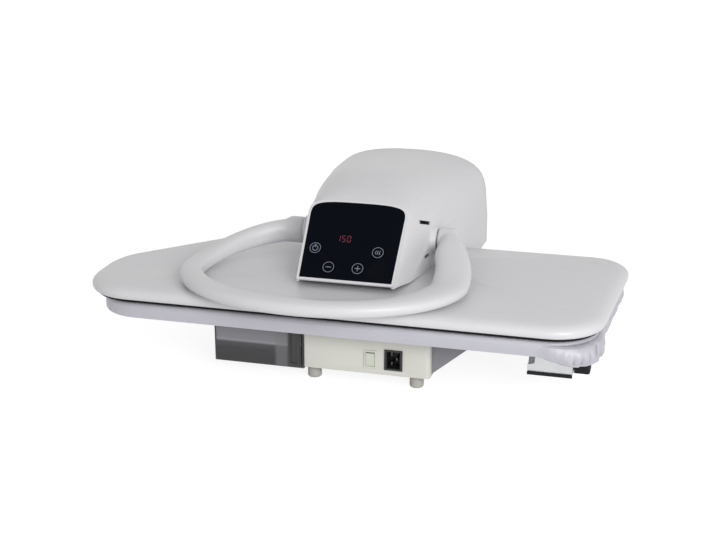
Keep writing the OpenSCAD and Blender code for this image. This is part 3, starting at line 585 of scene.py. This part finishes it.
lift_coil = 0.0094
wound("lift_spring_left", Vector((-0.0385, hinge_y, hinge_z)), Vector((0.0024, 0, 0)), 2.6,
      lift_coil, 0.0011, "base", ["torsion_springs"])
wound("lift_spring_right", Vector((0.0385, hinge_y, hinge_z)), Vector((-0.0024, 0, 0)), 2.6,
      lift_coil, 0.0011, "base", [])

# End bracket
# A bracket folded from zinc-plated sheet hangs under the right end of the board, with a
# black rubber block beside it.
block_rubber = finish("block_rubber", (0.010, 0.010, 0.012), 0.75, grain=600.0, relief=0.0001)
block_rubber.node_tree.nodes["Principled BSDF"].inputs["Specular IOR Level"].default_value = 0.25
seat(eased("end_bracket", 0.0005), "end_hanger", "base", zinc, ["end_bracket"])
seat(eased("bracket_buffer", 0.0010), "end_buffer", "base", block_rubber,
     ["bracket_buffer"])

# Heated shoe
# A cast plate, near black at its edge, with a bent element and a steam chamber on it, closed in
# by a white moulding whose crown falls away evenly to a full rim. The edge's near black is partly
# its own dark edge and partly painted shade for the gap under the moulding's rim.
# Near black: partly the edge's own colour, partly painted shade for the gap under the shoe's rim.
plate_dark_gap_shade = finish("plate_dark_gap_shade", (0.003, 0.003, 0.004), 0.55, tint=0.1, wear=0.02)
plate_dark_gap_shade.node_tree.nodes["Principled BSDF"].inputs["Specular IOR Level"].default_value = 0.15
# Its sole has a grey non-stick coat, so a face that looks down is paler than the edge.
sole_tree = plate_dark_gap_shade.node_tree
sole_axes = sole_tree.nodes.new("ShaderNodeSeparateXYZ")
sole_tree.links.new(object_place(sole_tree, "Normal"), sole_axes.inputs["Vector"])
facing_down = ranged(sole_tree, sole_axes.outputs["Z"], -0.90, -0.98)
set_tone(sole_tree, mixed(sole_tree, facing_down, tone_in(sole_tree), (0.055, 0.055, 0.060, 1.0)))
cast_metal = finish("cast_metal", (0.55, 0.55, 0.57), 0.5, metallic=1.0, tint=0.08, grain=500.0,
                    relief=0.0001)
wool = finish("mineral_wool", (0.62, 0.56, 0.38), 0.95, cloud=80.0, grain=420.0, relief=0.0006)
seat(eased("heat_plate", 0.0006), "sole_plate", "press_head", plate_dark_gap_shade,
     ["heat_plate"])
seat(eased("heating_element", 0.0012), "element", "press_head", spring_steel,
     ["heating_element"])
seat(eased("steam_chamber", 0.0012), "chamber", "press_head", cast_metal,
     ["steam_chamber"])
seat(eased("insulation", 0.0008), "wool_mat", "press_head", wool, ["insulation"])
seat(eased("thermostat", 0.0005), "thermostat_can", "press_head", zinc,
     ["thermostat"])

white = finish("white_plastic", (0.70, 0.695, 0.712), 0.36, tint=0.012, cloud=7.0, relief=0.00002)
seat(eased("shoe_cover", 0.0006, 2, 40.0), "shoe_moulding", "press_head", white,
     ["shoe_cover"], crease=30.0)

# Head
# A white hood in one moulding, low and square at the control panel, full at the crown and
# wide at the rear. It is open below, and a slot and a small hole pierce each flank.
seat(eased("head_shell", 0.0006, 2, 45.0), "hood", "press_head", white,
     ["head_shell"], crease=40.0)

# Control panel
# Dark glass in a thin white bezel, with a red digit display and four round keys. The
# marks are printed: a ring and a plain sign on each key.
panel_dark = finish("panel_dark", (0.0020, 0.0030, 0.0062), 0.14, tint=0.15, relief=0.000003,
                    swing=0.03, scuff=0.1, wear=0.03)
panel_dark.node_tree.nodes["Principled BSDF"].inputs["IOR"].default_value = 1.09
seat(eased("panel_bezel", 0.0005), "bezel", "press_head", white, ["panel_bezel"])
seat(eased("panel_glass", 0.0003), "glass", "press_head", panel_dark,
     ["panel_glass"])
seat(eased("display", 0.0003), "display_block", "press_head", socket_black,
     ["display"])
board_green = finish("board_green", (0.03, 0.13, 0.05), 0.4, tint=0.15, cloud=90.0)
seat(eased("control_board", 0.0002), "circuit_board", "press_head", board_green,
     ["control_board"])

panel_lean = math.radians(43.0)
panel_foot = Vector((0.0, front_y + 0.057, 0.112))
on_panel = Matrix(((1, 0, 0, 0), (0, math.sin(panel_lean), -math.cos(panel_lean), 0),
                   (0, math.cos(panel_lean), math.sin(panel_lean), 0), (0, 0, 0, 1)))
on_panel.translation = panel_foot
print_grey = finish("print_grey", (0.17, 0.19, 0.24), 0.5, tint=0.06)
key_top = 0.0040


def printed_ring(form, x, y, outer, band, height):
    """A thin printed ring, lying on the panel."""
    circle = bmesh.ops.create_circle(form, cap_ends=True, segments=40, radius=outer)
    bmesh.ops.translate(form, vec=(x, y, height), verts=circle["verts"])
    disc = circle["verts"][0].link_faces[0]
    bmesh.ops.inset_region(form, faces=[disc], thickness=band, depth=0.0, use_even_offset=True,
                           use_boundary=True)
    bmesh.ops.delete(form, geom=[disc], context="FACES")


def printed_bar(form, x, y, length, band, height, turn=0.0):
    """A thin printed stroke, lying on the panel."""
    place = Matrix.Translation((x, y, height)) @ Matrix.Rotation(turn, 4, "Z")
    place = place @ Matrix.Diagonal((length, band, 1.0, 1.0))
    bmesh.ops.create_grid(form, x_segments=1, y_segments=1, size=0.5, matrix=place)


def print_on(form, name, body, coat):
    """Gives the printed marks a little body and lays them on the leaning panel."""
    grown = bmesh.ops.extrude_face_region(form, geom=form.faces[:])
    lifted = [g for g in grown["geom"] if isinstance(g, bmesh.types.BMVert)]
    print_thickness = 0.00006
    bmesh.ops.translate(form, vec=(0, 0, print_thickness), verts=lifted)
    bmesh.ops.transform(form, matrix=on_panel, verts=form.verts)
    bmesh.ops.recalc_face_normals(form, faces=form.faces)
    return seat(form, name, body, coat)


key_ring, key_ring_band = 0.0070, 0.0007
sign_bar, sign_band = 0.0068, 0.0010
quarter_turn = math.pi / 2
for key, x, y in (("key_power", -0.044, 0.052), ("key_cooler", -0.023, 0.028),
                  ("key_hotter", 0.013, 0.029), ("key_steam", 0.034, 0.052)):
    seat(eased(key, 0.0004), key + "_cap", key, panel_dark, [key])
    marks = bmesh.new()
    printed_ring(marks, x, y, key_ring, key_ring_band, key_top)
    if key == "key_power":
        printed_ring(marks, x, y - 0.0003, 0.0038, 0.0009, key_top)
        printed_bar(marks, x, y + 0.0030, 0.0042, 0.0011, key_top + 0.00003, quarter_turn)
    elif key == "key_steam":
        for wave in (-0.0024, 0.0, 0.0024):
            for rise, turn in ((0.0012, 60), (-0.0014, 120)):
                printed_bar(marks, x + wave, y + rise, 0.0030, 0.0008, key_top,
                            math.radians(turn))
    else:
        printed_bar(marks, x, y, sign_bar, sign_band, key_top)
        if key == "key_hotter":
            printed_bar(marks, x, y, sign_bar, sign_band, key_top, quarter_turn)
    print_on(marks, key + "_sign", key, print_grey)

# Digits
# Three dim red seven-segment digits shine through the glass. They read a plain number.
lit_red = finish("lit_red", (0.13, 0.010, 0.03), 0.5, tint=0.05)
lit_shader = lit_red.node_tree.nodes["Principled BSDF"]
lit_shader.inputs["Emission Color"].default_value = (0.55, 0.02, 0.07, 1.0)
lit_shader.inputs["Emission Strength"].default_value = 0.035
glass_top = 0.0035
digits_x, digits_y = -0.011, 0.067
half_digit_w, half_digit_h = 0.0019, 0.0040
stroke_length, stroke_band = 0.0031, 0.0008
digits = bmesh.new()
strokes = {"a": (0, 1, 0), "b": (1, 0.5, 1), "c": (1, -0.5, 1), "d": (0, -1, 0),
           "e": (-1, -0.5, 1), "f": (-1, 0.5, 1), "g": (0, 0, 0)}
for place, lit in ((-0.0066, "bc"), (0.0, "acdfg"), (0.0066, "abcdef")):
    for stroke in lit:
        across, up, upright = strokes[stroke]
        printed_bar(digits, digits_x + place + across * half_digit_w, digits_y + up * half_digit_h,
                    stroke_length, stroke_band, glass_top, upright * quarter_turn)
print_on(digits, "lit_digits", "press_head", lit_red)

# Press arm and lock
# Two plated cheeks run from the hinge to the lever shaft. The handle turns a cam that
# pushes the sprung post down on the steam chamber.
seat(eased("press_arm", 0.0005), "arm", "press_head", zinc, ["press_arm"])
seat(eased("hinge_bushes", 0.0003), "bushes", "press_head", bronze, ["hinge_bushes"])
seat(eased("post_guide", 0.0003), "guide", "press_head", bronze, ["post_guide"])
seat(eased("lever_shaft", 0.0005), "shaft", "handle", zinc, ["lever_shaft"])
seat(eased("pressure_cam", 0.0005), "cam", "handle", spring_steel, ["pressure_cam"])
seat(eased("pressure_post", 0.0005), "post", "pressure_post", zinc, ["pressure_post"])
post_low, post_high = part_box("post_spring")
post_mid = (post_low + post_high) / 2
post_turns = 3.5
post_end = 0.0011
post_rise = (post_high.z - post_low.z - 2 * post_end) / post_turns
wound("return_spring", Vector((post_mid.x, post_mid.y, post_low.z + post_end)),
      Vector((0, 0, post_rise)), post_turns, 0.0094, 0.0010, "press_head", ["post_spring"])

# Upper hose and wires
# They leave the hinge's axis beside the lower ones, run forward under the hood's crown,
# and drop to the steam chamber and to the back of the circuit board.
hose("steam_hose_run", [(0.0574, hinge_y, hinge_z), (0.066, hinge_y, hinge_z),
                        (0.066, 0.1215, 0.138), (0.062, 0.0195, 0.138), (0.062, 0.0195, 0.1091)],
     hose_radius, hose_bend, "press_head", silicone, ["hose_upper"])
board_back_spot = on_panel @ Vector((-0.040, 0.050, -0.0126))
behind_board = on_panel @ Vector((-0.040, 0.050, -0.036))
hose("wire_loom_run", [(-0.0574, hinge_y, hinge_z), (-0.066, hinge_y, hinge_z),
                       (-0.066, 0.1215, 0.138), (-0.046, 0.0455, 0.126), behind_board,
                       board_back_spot],
     hose_radius, hose_bend, "press_head", wire_black, ["loom_upper"])

# Handle
# A white hollow-moulded loop that sweeps round the front of the head, low over the shoe,
# and climbs to a hub on each flank. The right arm is the broader.
shaft = Vector((0.0, 0.0035, 0.142))
hub_in = 0.087
hub_t = 0.023
arm_x = hub_in + hub_t / 2
loop_x, loop_z = -0.029, 0.123
loop_a, loop_b = 0.163, 0.110
loop_w, loop_t = 0.030, 0.019
arm_w, arm_t = 0.023, 0.030
hub_radius = 0.0172
loop_y = front_y + 0.072
end_right = math.acos((arm_x - loop_x) / loop_a)
end_left = math.tau - math.acos((-arm_x - loop_x) / loop_a)
reach = shaft.y - loop_y


def loop_lift(t):
    """How far the loop has climbed to its hubs at this angle."""
    if t > -math.pi / 2:
        return soft_step((t + math.radians(5)) / (end_right + math.radians(5)))
    return soft_step((-t - math.radians(183)) / (end_left - math.radians(183)))


def loop_point(t):
    """The loop's centreline at this angle, from the right hub round the front to the left."""
    if math.sin(t) < 0:
        depth = loop_b
    elif t > -math.pi / 2:
        depth = reach / math.sin(end_right)
    else:
        depth = -reach / math.sin(end_left)
    return Vector((loop_x + loop_a * math.cos(t), loop_y + depth * math.sin(t),
                   loop_z + (shaft.z - loop_z) * loop_lift(t)))


loop_form = bmesh.new()
section = bmesh.ops.create_circle(loop_form, cap_ends=True, segments=28, radius=1.0)
cap = section["verts"][0].link_faces[0]
round_the_section = [math.atan2(v.co.y, v.co.x) for v in cap.verts]
loop_steps = 72
fullness = 0.833
step = (end_right + end_left) / loop_steps
for i in range(loop_steps + 1):
    t = end_right - i * step
    ahead = loop_point(max(t - step, -end_left)) - loop_point(min(t + step, end_right))
    inward = ahead.normalized().cross(Vector((0, 0, 1))).normalized()
    upward = inward.cross(ahead.normalized())
    climb = loop_lift(t)
    more = 0.0085 * soft_step((t + math.radians(75)) / math.radians(65))
    more *= soft_step((end_right - t) / math.radians(15))
    half_w = (loop_w * (1 - climb) + arm_w * climb) / 2 + more
    half_t = (loop_t * (1 - climb) + arm_t * climb) / 2
    if i:
        cap = [g for g in bmesh.ops.extrude_face_region(loop_form, geom=[cap])["geom"]
               if isinstance(g, bmesh.types.BMFace)][0]
    for vert, q in zip(cap.verts, round_the_section):
        c, s = math.cos(q), math.sin(q)
        across = math.copysign(abs(c) ** fullness, c) * half_w + more
        rise = math.copysign(abs(s) ** fullness, s) * half_t
        vert.co = loop_point(t) + inward * across + upward * rise
for end in (1, -1):
    hub = bmesh.ops.create_cone(loop_form, cap_ends=True, segments=48, radius1=hub_radius,
                                radius2=hub_radius, depth=hub_t)
    bmesh.ops.rotate(loop_form, verts=hub["verts"],
                     matrix=Matrix.Rotation(quarter_turn, 3, "Y"))
    bmesh.ops.translate(loop_form, verts=hub["verts"], vec=(end * arm_x, shaft.y, shaft.z))
bmesh.ops.recalc_face_normals(loop_form, faces=loop_form.faces)

# The sweep and its hubs are one moulding, so they are fused and their joins drawn smooth.
rough_data = bpy.data.meshes.new("loop_rough")
loop_form.to_mesh(rough_data)
loop_form.free()
rough = bpy.data.objects.new("loop_rough", rough_data)
bpy.context.scene.collection.objects.link(rough)
fuse = rough.modifiers.new("fuse", "REMESH")
fuse.mode = "VOXEL"
fuse.voxel_size = 0.0017
fused = rough.evaluated_get(bpy.context.evaluated_depsgraph_get())
loop_form = bmesh.new()
loop_form.from_mesh(fused.to_mesh())
fused.to_mesh_clear()
bpy.data.objects.remove(rough)
bpy.data.meshes.remove(rough_data)
smoothing_passes = 14
for _ in range(smoothing_passes):
    bmesh.ops.smooth_vert(loop_form, verts=loop_form.verts, factor=0.5,
                          use_axis_x=True, use_axis_y=True, use_axis_z=True)
seat(loop_form, "loop", "handle", white, ["handle"], crease=80.0)

bpy.context.scene.view_settings.view_transform = "Standard"
